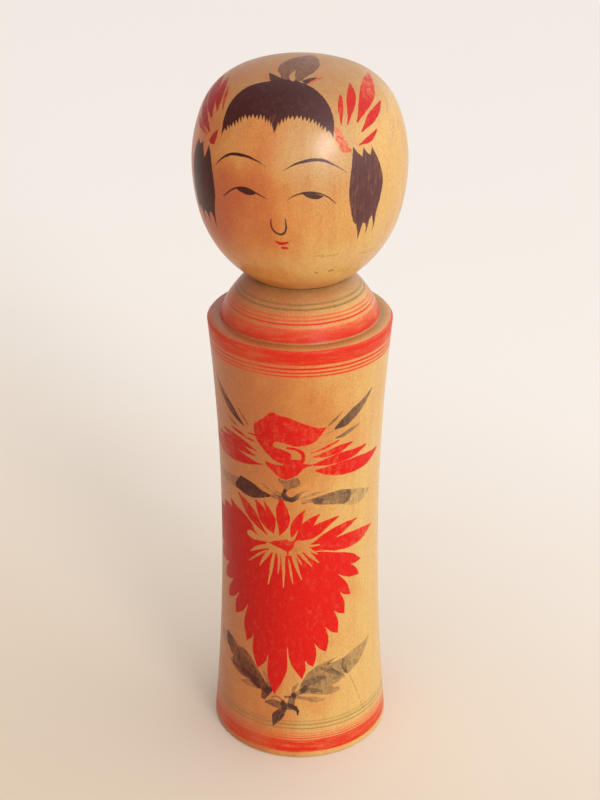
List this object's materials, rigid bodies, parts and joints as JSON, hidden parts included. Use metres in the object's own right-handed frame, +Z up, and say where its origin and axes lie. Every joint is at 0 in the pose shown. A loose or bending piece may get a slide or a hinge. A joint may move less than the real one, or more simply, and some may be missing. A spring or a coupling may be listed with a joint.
{
  "type": "kokeshi doll",
  "caption": "Turned wooden kokeshi doll with a round painted head that snaps into a waisted torso and turns.",
  "frame": {"origin": "centre of the base, on the floor", "axes": "+Z up the axis the doll was turned on, -Y out of the face, +X to the right of someone looking at the face"},
  "size_m": [0.0678, 0.0678, 0.242],
  "materials": {
    "torso_wood": "waxed pale wood aged to honey, with red, grey-black and green dye painting",
    "head_wood": "waxed pale wood aged to honey, with grey-black and red dye painting"
  },
  "bodies": {
    "torso": {"torso": "torso_wood"},
    "head": {"head": "head_wood"}
  },
  "joints": [
    {"name": "head_turn", "type": "hinge", "parent": "torso", "child": "head", "pos_m": [0, 0, 0.1728], "axis": [0, 0, 1], "continuous": true}
  ]
}
